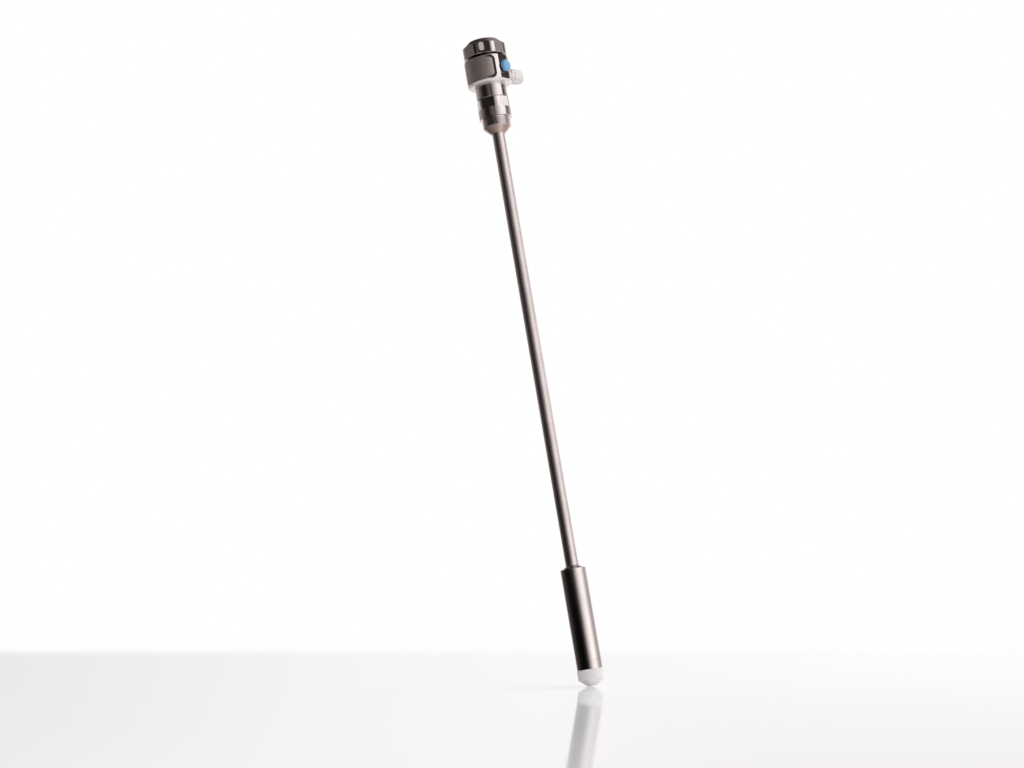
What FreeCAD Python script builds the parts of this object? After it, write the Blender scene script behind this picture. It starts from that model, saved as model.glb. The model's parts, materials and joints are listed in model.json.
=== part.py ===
import FreeCAD, Part
import os
import Sketcher
from math import cos, radians

# Hydrostatic level transmitter with a rigid rod, in millimetres.
# The origin is on the axis in the sealing plane under the collar. Z points up, the cable gland along X.

sizes = {
    # process connection
    "thread_diameter": 47.8,
    "thread_length": 14.5,
    "end_cone_height": 11.0,
    "end_cone_tip": 26.0,
    "collar_diameter": 55.0,
    "collar_height": 16.0,
    "hexagon_flats": 50.0,
    "hexagon_height": 18.0,
    "edge_break": 0.6,
    "cut_over": 1.0,
    "lead_bore": 12.0,
    # turning neck
    "spigot_diameter": 36.0,
    "swivel_clearance": 0.05,
    "swivel_gap": 0.3,
    "swivel_seal_section": 2.2,
    "swivel_seal_height": 6.0,
    "lock_groove_depth": 1.1,
    "lock_groove_width": 5.8,
    "lock_height": 15.0,
    "set_screw_diameter": 5.0,
    "set_screw_socket": 2.5,
    "set_screw_socket_depth": 2.5,
    "ring_thickness": 1.5,
    "ring_width": 2.8,
    "ring_groove_depth": 1.2,
    "ring_gap_angle": 30.0,
    "ring_recess": 3.0,
    "ring_lip": 1.0,
    # housing
    "neck_diameter": 52.6,
    "neck_height": 24.0,
    "housing_diameter": 75.0,
    "housing_height": 46.0,
    "housing_wall": 4.0,
    "housing_floor": 6.0,
    "housing_edge": 3.5,
    "mouth_diameter": 55.0,
    "mouth_wall": 3.5,
    "mouth_height": 10.0,
    "mouth_lip": 12.0,
    "entry_height": 22.0,
    "boss_root": 2.5,
    # cover
    "cover_thread_clearance": 0.3,
    "cover_gap": 3.6,
    "cover_height": 28.9,
    "cover_angle": 27.0,
    "cover_wall": 4.8,
    "cover_edge": 12.0,
    "cover_bevel_height": 8.5,
    "cover_bevel_width": 9.0,
    "cover_top_edge": 1.0,
    "cover_top": 4.5,
    "cover_shelf": 0.5,
    "cover_seal_thickness": 2.0,
    "seal_gap": 0.1,
    # electronics insert
    "insert_clearance": 0.7,
    "insert_wall": 1.6,
    "insert_floor": 2.0,
    "insert_height": 14.0,
    "standoff_height": 6.0,
    "standoff_flats": 5.5,
    "insert_screw": 3.0,
    "insert_screw_head": 5.4,
    "insert_screw_head_height": 2.2,
    "screw_clearance": 0.1,
    "boss_diameter": 6.4,
    "board_clearance": 0.3,
    "board_thickness": 1.6,
    "board_height": 6.0,
    "ledge_width": 2.0,
    "plate_thickness": 4.0,
    "lead_clearance": 2.0,
    "block_length": 30.0,
    "block_depth": 13.0,
    "block_height": 11.0,
    "block_offset": 6.0,
    "pole_pitch": 7.0,
    "pole_hole": 3.6,
    "pole_screw": 4.0,
    "pole_screw_height": 5.0,
    "pole_screw_recess": 1.0,
    "pole_slot_width": 0.8,
    "pole_slot_depth": 1.0,
    "pole_sill": 1.5,
    "pole_depth": 5.0,
    "ground_margin": 2.5,
    "ground_screw": 5.6,
    "ground_height": 4.0,
    "ground_washer": 7.6,
    "ground_washer_height": 1.5,
    "button_diameter": 5.0,
    "button_clearance": 0.08,
    "button_spacing": 14.0,
    "button_offset": 13.0,
    "button_flange": 7.2,
    "button_flange_height": 1.4,
    "button_gap": 0.2,
    "button_stand": 2.0,
    "switch_width": 5.0,
    "switch_gap": 1.1,
    "connector_length": 18.0,
    "connector_depth": 7.0,
    "connector_height": 3.0,
    "connector_offset": 2.0,
    "chip_length": 8.0,
    "chip_depth": 5.0,
    "chip_height": 1.5,
    "chip_offset": 9.0,
    "capacitor_diameter": 6.0,
    "capacitor_height": 3.4,
    "capacitor_offset": 9.0,
    "chip_row": 3.5,
    # cable gland
    "gland_boss": 29.0,
    "gland_boss_stand": 4.5,
    "gland_thread": 20.0,
    "gland_reach": 11.0,
    "gland_flats": 24.0,
    "gland_collar": 5.5,
    "gland_bore": 13.0,
    "gland_sleeve": 18.4,
    "gland_sleeve_length": 10.0,
    "gland_sleeve_bore": 16.0,
    "gland_shoulder": 1.0,
    "gland_slit_root": 2.0,
    "gland_slit": 1.2,
    "gland_gasket_thickness": 1.5,
    "gland_gasket_diameter": 22.4,
    "nut_gap": 0.4,
    "nut_clearance": 0.3,
    "nut_length": 23.6,
    "nut_flats": 24.6,
    "nut_grip": 12.5,
    "nut_chamfer": 1.6,
    "nut_dome": 24.2,
    "nut_round": 6.5,
    "nut_mouth": 12.8,
    "nut_seat": 4.0,
    "cable_hole": 9.2,
    "seal_length": 9.0,
    "seal_clearance": 0.3,
    # pressure-equalising plug
    "vent_angle": -80.0,
    "vent_rise": 2.5,
    "vent_boss": 20.0,
    "vent_flat": 1.5,
    "vent_thread": 12.0,
    "vent_reach": 9.0,
    "vent_clearance": 0.2,
    "vent_seal_diameter": 17.0,
    "vent_seal_thickness": 1.2,
    "vent_flange": 18.4,
    "vent_flange_height": 2.0,
    "vent_bore": 5.0,
    "membrane_diameter": 9.6,
    "membrane_thickness": 0.4,
    "membrane_pocket": 0.8,
    "vent_cap_diameter": 20.0,
    "vent_cap_height": 6.0,
    "vent_cap_wall": 1.8,
    "vent_cap_round": 4.5,
    "vent_slot": 2.4,
    "fit_clearance": 0.05,
    # rod and sensor tube
    "rod_diameter": 21.3,
    "rod_wall": 2.0,
    "rod_length": 740.0,
    "rod_socket": 36.5,
    "rod_seat": 14.0,
    "cable_diameter": 6.0,
    "tube_diameter": 1.8,
    "tube_offset": 4.4,
    "grommet_length": 9.0,
    "probe_diameter": 42.0,
    "probe_wall": 3.5,
    "probe_length": 154.5,
    "probe_shoulder": 5.0,
    "probe_land": 1.5,
    "probe_top": 20.0,
    "seam_chamfer": 0.3,
    # measuring cell and its carrier
    "carrier_height": 14.0,
    "carrier_spigot": 10.0,
    "carrier_lip": 3.0,
    "cell_diameter": 28.8,
    "cell_clearance": 0.2,
    "cell_height": 10.0,
    "cell_opening": 24.0,
    "cell_seal_section": 1.6,
    "clamp_height": 6.0,
    "clamp_hole": 18.0,
    "potting_diameter": 27.0,
    "potting_height": 41.0,
    # protective cap
    "nose_diameter": 42.8,
    "nose_length": 27.0,
    "nose_cone": 11.2,
    "nose_tip": 16.0,
    "nose_gap": 0.3,
    "nose_spigot": 36.0,
    "nose_spigot_length": 9.0,
    "nose_clearance": 0.1,
    "nose_chamber": 31.0,
    "nose_floor": 4.0,
    "nose_floor_hole": 10.0,
    "nose_hole": 6.0,
    "nose_port": 5.0,
    "nose_port_angle": -41.0,
    "nose_ring_section": 1.4,
}

doc = FreeCAD.newDocument("LevelTransmitter")
sheet = doc.addObject("Spreadsheet::Sheet", "Sizes")
for row, (name, value) in enumerate(sizes.items(), 1):
    sheet.set("A%d" % row, name)
    sheet.set("B%d" % row, str(value))
    sheet.setAlias("B%d" % row, name)
doc.recompute()


class Size:
    # a length together with the sheet expression that gives it
    def __init__(self, text, value):
        self.text = text
        self.value = value

    def join(self, sign, other, value):
        return Size("(%s %s %s)" % (self.text, sign, other.text), value)

    def __add__(self, other):
        other = asSize(other)
        return self.join("+", other, self.value + other.value)

    def __sub__(self, other):
        other = asSize(other)
        return self.join("-", other, self.value - other.value)

    def __mul__(self, other):
        other = asSize(other)
        return self.join("*", other, self.value * other.value)

    def __truediv__(self, other):
        other = asSize(other)
        return self.join("/", other, self.value / other.value)

    def __neg__(self):
        return Size("(0 - %s)" % self.text, -self.value)


def asSize(value):
    return value if isinstance(value, Size) else Size(repr(float(value)), float(value))


def size(name):
    return Size("Sizes." + name, sizes[name])


def half(name):
    return size(name) / 2


def larger(first, second):
    return Size("max(%s; %s)" % (first.text, second.text), max(first.value, second.value))


def origin(body, role):
    return [f for f in body.Origin.OriginFeatures if f.Role == role][0]


parts = []


def newBody(label):
    body = doc.addObject("PartDesign::Body", label)
    body.Label = label
    parts.append(body)
    return body


# a closed profile of (radius, height) points in the XZ plane, turned about Z
def turn(body, points, kind="Revolution", angle=None):
    points = [(asSize(r), asSize(z)) for r, z in points]
    sketch = body.newObject("Sketcher::SketchObject", body.Label + "_profile")
    sketch.AttachmentSupport = [(origin(body, "XZ_Plane"), "")]
    sketch.MapMode = "FlatFace"
    count = len(points)
    for i in range(count):
        a = points[i]
        b = points[(i + 1) % count]
        start = FreeCAD.Vector(a[0].value, a[1].value, 0)
        end = FreeCAD.Vector(b[0].value, b[1].value, 0)
        sketch.addGeometry(Part.LineSegment(start, end))
    for i in range(count):
        sketch.addConstraint(Sketcher.Constraint("Coincident", i, 2, (i + 1) % count, 1))
    for i, (radius, height) in enumerate(points):
        across = sketch.addConstraint(Sketcher.Constraint("DistanceX", -1, 1, i, 1, radius.value))
        sketch.setExpression("Constraints[%d]" % across, radius.text)
        along = sketch.addConstraint(Sketcher.Constraint("DistanceY", -1, 1, i, 1, height.value))
        sketch.setExpression("Constraints[%d]" % along, height.text)
    feature = body.newObject("PartDesign::" + kind, body.Label + "_" + kind.lower())
    feature.Profile = sketch
    feature.ReferenceAxis = (sketch, ["V_Axis"])
    feature.Angle = 360
    if angle is not None:
        feature.setExpression("Angle", angle.text)
    doc.recompute()
    return feature


# a primitive standing at (x, y, z), turned about Z and laid over along X where lay is set
def primitive(body, kind, x=0, y=0, z=0, spin=0, lay=0, sides=None, **measures):
    feature = body.newObject("PartDesign::" + kind, body.Label + "_" + kind.lower())
    feature.AttachmentSupport = [(origin(body, "XY_Plane"), "")]
    feature.MapMode = "FlatFace"
    if sides:
        feature.Polygon = sides
    for key, value in measures.items():
        feature.setExpression(key, asSize(value).text)
    feature.setExpression("AttachmentOffset", placing(x, y, z, spin, lay))
    doc.recompute()
    return feature


def placing(x, y, z, spin=0, lay=0):
    place = tuple(asSize(v).text for v in (x, y, z, spin, lay))
    return "placement(vector(%s;%s;%s);rotationz(%s*1deg)*rotationy(%s*1deg))" % place


def polar(body, feature, count):
    pattern = body.newObject("PartDesign::PolarPattern", body.Label + "_polar")
    pattern.Originals = [feature]
    pattern.Axis = (origin(body, "Z_Axis"), [""])
    pattern.Angle = 360
    pattern.Occurrences = count
    body.Tip = pattern
    doc.recompute()
    return pattern


def linear(body, feature, count, length):
    pattern = body.newObject("PartDesign::LinearPattern", body.Label + "_row")
    pattern.Originals = [feature]
    pattern.Direction = (origin(body, "X_Axis"), [""])
    pattern.setExpression("Length", length.text)
    pattern.Occurrences = count
    body.Tip = pattern
    doc.recompute()
    return pattern


# the upright straight edges of a body's tip
def uprights(body):
    names = []
    for i, edge in enumerate(body.Tip.Shape.Edges, 1):
        if isinstance(edge.Curve, Part.Line) and abs(edge.Curve.Direction.z) > 0.999:
            names.append("Edge%d" % i)
    return names


# the edges of a body's tip that lie at one height
def level(body, height):
    names = []
    for i, edge in enumerate(body.Tip.Shape.Edges, 1):
        box = edge.BoundBox
        if max(abs(box.ZMin - height.value), abs(box.ZMax - height.value)) < 1e-4:
            names.append("Edge%d" % i)
    return names


# the circular edges of a body's tip at one radius and height
def rims(body, radius, height):
    names = []
    for i, edge in enumerate(body.Tip.Shape.Edges, 1):
        curve = edge.Curve
        if not isinstance(curve, Part.Circle):
            continue
        if abs(curve.Radius - radius.value) < 1e-4 and abs(curve.Center.z - height.value) < 1e-4:
            names.append("Edge%d" % i)
    return names


def dress(body, kind, names, key, value):
    feature = body.newObject("PartDesign::" + kind, body.Label + "_" + kind.lower())
    feature.Base = (body.Tip if body.Tip is not feature else feature.BaseFeature, names)
    feature.setExpression(key, value.text)
    body.Tip = feature
    doc.recompute()
    return feature


def ring(label, radius, section, height):
    torus = doc.addObject("Part::Torus", label)
    torus.Label = label
    torus.setExpression("Radius1", radius.text)
    torus.setExpression("Radius2", section.text)
    torus.setExpression("Placement", placing(0, 0, height))
    parts.append(torus)
    return torus


# heights along the axis
edge = size("edge_break")
over = size("cut_over")
collarTop = size("collar_height")
hexTop = collarTop + size("hexagon_height")
neckBottom = hexTop + size("swivel_gap")
housingBottom = hexTop + size("neck_height")
floorTop = housingBottom + size("housing_floor")
housingTop = housingBottom + size("housing_height")
mouthTop = housingTop + size("mouth_height")
ringFloor = floorTop - size("ring_recess")
ringLow = ringFloor + size("swivel_gap")
ringHigh = ringLow + size("ring_thickness")
spigotTop = ringHigh + size("fit_clearance") + size("ring_lip")
entryLevel = housingBottom + size("entry_height")
ventLevel = entryLevel + size("vent_rise")
threadEnd = -size("thread_length")
coneEnd = threadEnd - size("end_cone_height")
rodTop = coneEnd + size("rod_socket")
probeTop = coneEnd - size("rod_length")
rodEnd = probeTop - size("rod_seat")
seam = probeTop - size("probe_length")
steelEnd = seam - size("carrier_height")
carrierEnd = steelEnd - size("nose_spigot_length")

# process connection: end cone, thread, collar, milled hexagon and the spigot that the housing turns on
spigot = half("spigot_diameter")
groove = spigot - size("swivel_seal_section") - size("swivel_clearance")
sealLow = hexTop + size("swivel_seal_height")
sealHigh = sealLow + size("swivel_seal_section") * 1.4
lockLevel = hexTop + size("lock_height")
lockHalf = half("lock_groove_width")
lockBottom = spigot - size("lock_groove_depth")
ringSeat = spigot - size("ring_groove_depth")
ringOut = ringSeat + size("ring_width")
connection = newBody("process_connection")
turn(connection, [
    (half("rod_diameter"), coneEnd),
    (half("end_cone_tip"), coneEnd),
    (half("thread_diameter"), threadEnd),
    (half("thread_diameter"), 0),
    (half("collar_diameter") - edge, 0),
    (half("collar_diameter"), edge),
    (half("collar_diameter"), hexTop - edge * 2),
    (half("collar_diameter") - edge * 3, hexTop),
    (spigot, hexTop),
    (spigot, sealLow),
    (groove, sealLow),
    (groove, sealHigh),
    (spigot, sealHigh),
    (spigot, lockLevel - lockHalf),
    (lockBottom, lockLevel - lockHalf),
    (lockBottom, lockLevel + lockHalf),
    (spigot, lockLevel + lockHalf),
    (spigot, ringLow - size("fit_clearance")),
    (ringSeat, ringLow - size("fit_clearance")),
    (ringSeat, ringHigh + size("fit_clearance")),
    (spigot, ringHigh + size("fit_clearance")),
    (spigot, spigotTop - edge),
    (spigot - edge, spigotTop),
    (half("lead_bore"), spigotTop),
    (half("lead_bore"), rodTop),
    (half("rod_diameter"), rodTop),
])
flat = primitive(connection, "SubtractiveBox", x=half("hexagon_flats"), y=-half("collar_diameter"),
                 z=collarTop, Length=size("collar_diameter"), Width=size("collar_diameter"),
                 Height=size("hexagon_height") + over)
flat.setExpression("AttachmentOffset", (
    "placement(rotationz(30deg)*vector(%s;%s;%s);rotationz(30deg))"
    % (half("hexagon_flats").text, (-half("collar_diameter")).text, collarTop.text)))
doc.recompute()
polar(connection, flat, 6)

ring("swivel_seal", spigot - half("swivel_seal_section"), half("swivel_seal_section"),
     (sealLow + sealHigh) / 2)

retaining = newBody("retaining_ring")
turn(retaining, [
    (ringSeat, ringLow),
    (ringOut, ringLow),
    (ringOut, ringHigh),
    (ringSeat, ringHigh),
], angle=-size("ring_gap_angle") + 360)

# rod, its lead and air tube
rod = newBody("rod_tube")
turn(rod, [
    (half("rod_diameter") - size("rod_wall"), rodEnd),
    (half("rod_diameter"), rodEnd),
    (half("rod_diameter"), rodTop),
    (half("rod_diameter") - size("rod_wall"), rodTop),
])

clampLow = carrierEnd + size("carrier_lip") + size("cell_seal_section") + size("cell_height")
clampHigh = clampLow + size("clamp_height")
pottingTop = clampHigh + size("potting_height")
insertLow = floorTop + size("standoff_height")
boardLow = insertLow + size("insert_floor") + size("board_height")
cable = newBody("signal_cable")
primitive(cable, "AdditiveCylinder", z=pottingTop, Radius=half("cable_diameter"),
          Height=boardLow - size("swivel_gap") - pottingTop)
tube = newBody("vent_tube")
primitive(tube, "AdditiveCylinder", x=size("tube_offset"), z=pottingTop, Radius=half("tube_diameter"),
          Height=spigotTop - pottingTop)
grommet = newBody("cable_grommet")
turn(grommet, [
    (half("cable_diameter"), spigotTop - size("grommet_length")),
    (half("lead_bore"), spigotTop - size("grommet_length")),
    (half("lead_bore"), spigotTop - edge),
    (half("cable_diameter"), spigotTop - edge),
])
primitive(grommet, "SubtractiveCylinder", x=size("tube_offset"), z=spigotTop - size("grommet_length") - edge,
          Radius=half("tube_diameter"), Height=size("grommet_length") + edge * 2)

# sensor tube with a sloping shoulder, bored from below
probeBore = half("probe_diameter") - size("probe_wall")
probe = newBody("probe_body")
turn(probe, [
    (half("rod_diameter"), probeTop),
    (half("rod_diameter") + size("probe_land"), probeTop),
    (half("probe_diameter"), probeTop - size("probe_shoulder")),
    (half("probe_diameter"), seam),
    (probeBore, seam),
    (probeBore, probeTop - size("probe_top")),
    (half("lead_bore"), probeTop - size("probe_top")),
    (half("lead_bore"), rodEnd),
    (half("rod_diameter"), rodEnd),
])

# carrier of the measuring cell, with the spigot for the protective cap
noseSpigot = half("nose_spigot")
noseRing = steelEnd - size("nose_spigot_length") / 2
ringHalf = size("nose_ring_section") * 0.65
ringDeep = noseSpigot - size("nose_ring_section") - size("fit_clearance")
seat = half("cell_diameter") + size("cell_clearance")
carrier = newBody("cell_carrier")
turn(carrier, [
    (half("cell_opening"), carrierEnd),
    (noseSpigot - edge, carrierEnd),
    (noseSpigot, carrierEnd + edge),
    (noseSpigot, noseRing - ringHalf),
    (ringDeep, noseRing - ringHalf),
    (ringDeep, noseRing + ringHalf),
    (noseSpigot, noseRing + ringHalf),
    (noseSpigot, steelEnd),
    (half("probe_diameter"), steelEnd),
    (half("probe_diameter"), seam - size("seam_chamfer")),
    (half("probe_diameter") - size("seam_chamfer"), seam),
    (probeBore - size("fit_clearance"), seam),
    (probeBore - size("fit_clearance"), seam + size("carrier_spigot")),
    (seat, seam + size("carrier_spigot")),
    (seat, carrierEnd + size("carrier_lip")),
    (half("cell_opening"), carrierEnd + size("carrier_lip")),
])
ring("nose_ring", noseSpigot - half("nose_ring_section"), half("nose_ring_section"), noseRing)
ring("cell_seal", half("cell_diameter") - size("cell_seal_section"), half("cell_seal_section"),
     carrierEnd + size("carrier_lip") + half("cell_seal_section"))

cell = newBody("measuring_cell")
primitive(cell, "AdditiveCylinder", z=clampLow - size("cell_height"), Radius=half("cell_diameter"),
          Height=size("cell_height"))
clamp = newBody("cell_clamp")
turn(clamp, [
    (half("clamp_hole"), clampLow),
    (seat - size("fit_clearance"), clampLow),
    (seat - size("fit_clearance"), clampHigh),
    (half("clamp_hole"), clampHigh),
])
potting = newBody("sensor_electronics")
primitive(potting, "AdditiveCylinder", z=clampHigh, Radius=half("potting_diameter"),
          Height=size("potting_height"))

# protective cap: short cylinder and blunt cone, open to the liquid through its ports
noseTop = steelEnd - size("nose_gap")
noseEnd = steelEnd - size("nose_length")
coneTop = noseEnd + size("nose_cone")
noseBore = noseSpigot + size("nose_clearance")
chamberTop = carrierEnd - edge
nose = newBody("nose_cap")
turn(nose, [
    (noseBore, noseTop),
    (half("nose_diameter") - edge, noseTop),
    (half("nose_diameter"), noseTop - edge),
    (half("nose_diameter"), coneTop),
    (half("nose_tip"), noseEnd),
    (half("nose_hole"), noseEnd),
    (half("nose_hole"), noseEnd + size("nose_floor")),
    (half("nose_floor_hole"), noseEnd + size("nose_floor")),
    (half("nose_chamber"), coneTop),
    (half("nose_chamber"), chamberTop),
    (noseBore, chamberTop),
])
port = primitive(nose, "SubtractiveCylinder", z=coneTop + half("nose_port") + edge, spin=size("nose_port_angle"),
                 lay=90, Radius=half("nose_port"), Height=size("nose_diameter"))
polar(nose, port, 2)

# housing: cup, neck, the boss of the gland and the milled flat of the vent plug
wallIn = half("housing_diameter") - size("housing_wall")
neckBore = spigot + size("swivel_clearance")
mouth = half("mouth_diameter")
coverThread = mouth + size("mouth_wall")
lip = wallIn - mouth
cupOut = mouth - size("insert_clearance")
housing = newBody("housing")
turn(housing, [
    (neckBore, neckBottom),
    (half("neck_diameter") - edge, neckBottom),
    (half("neck_diameter"), neckBottom + edge),
    (half("neck_diameter"), housingBottom),
    (half("housing_diameter") - size("housing_edge"), housingBottom),
    (half("housing_diameter"), housingBottom + size("housing_edge")),
    (half("housing_diameter"), housingTop - edge),
    (half("housing_diameter") - edge, housingTop),
    (coverThread, housingTop),
    (coverThread, mouthTop - edge),
    (coverThread - edge, mouthTop),
    (mouth, mouthTop),
    (mouth, mouthTop - size("mouth_lip")),
    (wallIn, mouthTop - size("mouth_lip") - lip),
    (wallIn, floorTop),
    (ringOut + size("swivel_gap"), floorTop),
    (ringOut + size("swivel_gap"), ringFloor),
    (neckBore, ringFloor),
])
bossIn = wallIn - size("boss_root")
glandFace = half("housing_diameter") + size("gland_boss_stand")
# the plug seats on its flat, or on a boss that stands out where the insert leaves its shank too little room
plugRoom = cupOut + size("vent_clearance") + size("vent_reach")
ventFace = larger(half("housing_diameter") - size("vent_flat"), plugRoom)


# a point at a distance out along the vent plug's axis and a distance aside from it
def radial(distance, aside=0):
    turned = "%s*1deg" % size("vent_angle").text
    aside = asSize(aside).text
    x = Size("(%s * cos(%s) - %s * sin(%s))" % (distance.text, turned, aside, turned), 0)
    y = Size("(%s * sin(%s) + %s * cos(%s))" % (distance.text, turned, aside, turned), 0)
    return x, y


primitive(housing, "AdditiveCylinder", x=bossIn, z=entryLevel, lay=90,
          Radius=half("gland_boss"), Height=glandFace - bossIn)
ventX, ventY = radial(bossIn)
primitive(housing, "AdditiveCylinder", x=ventX, y=ventY, z=ventLevel, spin=size("vent_angle"), lay=90,
          Radius=half("vent_boss"), Height=ventFace - bossIn)
flatX, flatY = radial(ventFace, -half("housing_diameter"))
primitive(housing, "SubtractiveBox", x=flatX, y=flatY, z=housingBottom - over, spin=size("vent_angle"),
          Length=size("vent_flat") + over, Width=size("housing_diameter"),
          Height=size("housing_height") + over * 2)
primitive(housing, "SubtractiveCylinder", x=bossIn - over, z=entryLevel, lay=90,
          Radius=half("gland_thread") + size("fit_clearance"), Height=glandFace - bossIn + over * 2)
ventX, ventY = radial(bossIn - over)
primitive(housing, "SubtractiveCylinder", x=ventX, y=ventY, z=ventLevel, spin=size("vent_angle"), lay=90,
          Radius=half("vent_thread") + size("fit_clearance"), Height=ventFace - bossIn + over * 2)
primitive(housing, "SubtractiveCylinder", y=spigot / 2, z=lockLevel, spin=90, lay=90,
          Radius=half("set_screw_diameter") + size("fit_clearance"), Height=size("neck_diameter"))

screw = newBody("set_screw")
screwIn = lockBottom + size("swivel_gap")
primitive(screw, "AdditiveCylinder", y=screwIn, z=lockLevel, spin=90, lay=90,
          Radius=half("set_screw_diameter"), Height=half("neck_diameter") - edge - screwIn)
primitive(screw, "SubtractivePrism", y=half("neck_diameter") - edge - size("set_screw_socket_depth"),
          z=lockLevel, spin=90, lay=90, sides=6,
          Circumradius=Size("(%s / cos(30deg))" % half("set_screw_socket").text, 0),
          Height=size("set_screw_socket_depth") + over)

# cover: octagonal grip with rounded corners and a wide bevel round the top, screwed over the mouth
coverBottom = housingTop + size("cover_gap")
coverTop = coverBottom + size("cover_height")
threadTop = mouthTop + size("cover_seal_thickness") + size("seal_gap") * 2
bore = coverThread + size("cover_thread_clearance")
flats = bore + size("cover_wall")
corner = Size("(%s / cos(22.5deg))" % flats.text, flats.value / cos(radians(22.5)))
flatTop = flats - size("cover_bevel_width")
slope = size("cover_bevel_height") / size("cover_bevel_width")
wide = corner + over
cover = newBody("cover")
primitive(cover, "AdditivePrism", z=coverBottom, spin=size("cover_angle"), sides=8,
          Circumradius=corner, Height=size("cover_height"))
dress(cover, "Fillet", uprights(cover), "Radius", size("cover_edge"))
dress(cover, "Chamfer", level(cover, coverBottom), "Size", edge)
turn(cover, [
    (flatTop, coverTop),
    (wide, coverTop),
    (wide, coverTop - (wide - flatTop) * slope),
], kind="Groove")
dress(cover, "Fillet", rims(cover, flatTop, coverTop), "Radius", size("cover_top_edge"))
primitive(cover, "SubtractiveCylinder", z=coverBottom - over,
          Radius=bore, Height=threadTop - coverBottom + over)
primitive(cover, "SubtractiveCylinder", z=coverBottom,
          Radius=mouth - size("cover_shelf"), Height=size("cover_height") - size("cover_top"))

coverSeal = newBody("cover_seal")
turn(coverSeal, [
    (mouth + edge, mouthTop + size("seal_gap")),
    (coverThread - edge, mouthTop + size("seal_gap")),
    (coverThread - edge, threadTop - size("seal_gap")),
    (mouth + edge, threadTop - size("seal_gap")),
])

# electronics insert on three standoffs
insertHigh = insertLow + size("insert_height")
plateTop = insertHigh + size("plate_thickness")
boardHigh = boardLow + size("board_thickness")
circle = cupOut - half("boss_diameter")
screwHole = half("insert_screw") + size("screw_clearance")
standoffs = newBody("standoffs")
post = primitive(standoffs, "AdditivePrism", y=circle, z=floorTop, sides=6,
                 Circumradius=Size("(%s / cos(30deg))" % half("standoff_flats").text, 0),
                 Height=size("standoff_height"))
polar(standoffs, post, 3)
hole = primitive(standoffs, "SubtractiveCylinder", y=circle, z=floorTop + edge,
                 Radius=half("insert_screw") + size("fit_clearance"), Height=size("standoff_height"))
polar(standoffs, hole, 3)

cup = newBody("electronics_cup")
cupFloor = insertLow + size("insert_floor")
ledge = circle - half("boss_diameter") - size("board_clearance")
turn(cup, [
    (half("cable_diameter") + size("lead_clearance"), insertLow),
    (cupOut, insertLow),
    (cupOut, insertHigh),
    (cupOut - size("insert_wall"), insertHigh),
    (cupOut - size("insert_wall"), cupFloor),
    (ledge, cupFloor),
    (ledge, boardLow),
    (ledge - size("ledge_width"), boardLow),
    (ledge - size("ledge_width"), cupFloor),
    (half("cable_diameter") + size("lead_clearance"), cupFloor),
])
pillar = primitive(cup, "AdditiveCylinder", y=circle, z=insertLow, Radius=half("boss_diameter"),
                   Height=size("insert_height"))
polar(cup, pillar, 3)
hole = primitive(cup, "SubtractiveCylinder", y=circle, z=insertLow - over, Radius=screwHole,
                 Height=size("insert_height") + over * 2)
polar(cup, hole, 3)

board = newBody("circuit_board")
primitive(board, "AdditiveCylinder", z=boardLow, Radius=ledge,
          Height=size("board_thickness"))

flangeTop = insertHigh - size("button_gap")
flangeLow = flangeTop - size("button_flange_height")
switchHigh = flangeLow - size("switch_gap")
fittings = newBody("board_parts")
switch = primitive(fittings, "AdditiveBox", x=-half("button_spacing") - half("switch_width"),
                   y=-size("button_offset") - half("switch_width"), z=boardHigh, Length=size("switch_width"),
                   Width=size("switch_width"), Height=switchHigh - boardHigh)
linear(fittings, switch, 2, size("button_spacing"))
primitive(fittings, "AdditiveBox", x=-half("connector_length"), y=size("connector_offset"), z=boardHigh,
          Length=size("connector_length"), Width=size("connector_depth"), Height=size("connector_height"))
primitive(fittings, "AdditiveBox", x=-size("chip_offset") - half("chip_length"),
          y=-size("chip_row") - half("chip_depth"), z=boardHigh, Length=size("chip_length"),
          Width=size("chip_depth"), Height=size("chip_height"))
primitive(fittings, "AdditiveCylinder", x=size("capacitor_offset"), y=-size("chip_row"), z=boardHigh,
          Radius=half("capacitor_diameter"), Height=size("capacitor_height"))

plate = newBody("terminal_plate")
primitive(plate, "AdditiveCylinder", z=insertHigh, Radius=cupOut, Height=size("plate_thickness"))
hole = primitive(plate, "SubtractiveCylinder", y=circle, z=insertHigh - over, Radius=screwHole,
                 Height=size("plate_thickness") + over * 2)
polar(plate, hole, 3)
hole = primitive(plate, "SubtractiveCylinder", x=-half("button_spacing"), y=-size("button_offset"),
                 z=insertHigh - over, Radius=half("button_diameter") + size("button_clearance"),
                 Height=size("plate_thickness") + over * 2)
linear(plate, hole, 2, size("button_spacing"))

screws = newBody("insert_screws")
shank = primitive(screws, "AdditiveCylinder", y=circle, z=floorTop + edge * 2, Radius=half("insert_screw"),
                  Height=plateTop - floorTop - edge * 2)
polar(screws, shank, 3)
head = primitive(screws, "AdditiveCylinder", y=circle, z=plateTop, Radius=half("insert_screw_head"),
                 Height=size("insert_screw_head_height"))
polar(screws, head, 3)

for label, side in (("zero_button", -1), ("span_button", 1)):
    button = newBody(label)
    turn(button, [
        (0, flangeLow),
        (half("button_flange"), flangeLow),
        (half("button_flange"), flangeTop),
        (half("button_diameter"), flangeTop),
        (half("button_diameter"), plateTop + size("button_stand") - edge),
        (half("button_diameter") - edge, plateTop + size("button_stand")),
        (0, plateTop + size("button_stand")),
    ])
    button.setExpression("Placement", placing(half("button_spacing") * side, -size("button_offset"), 0))

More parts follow.
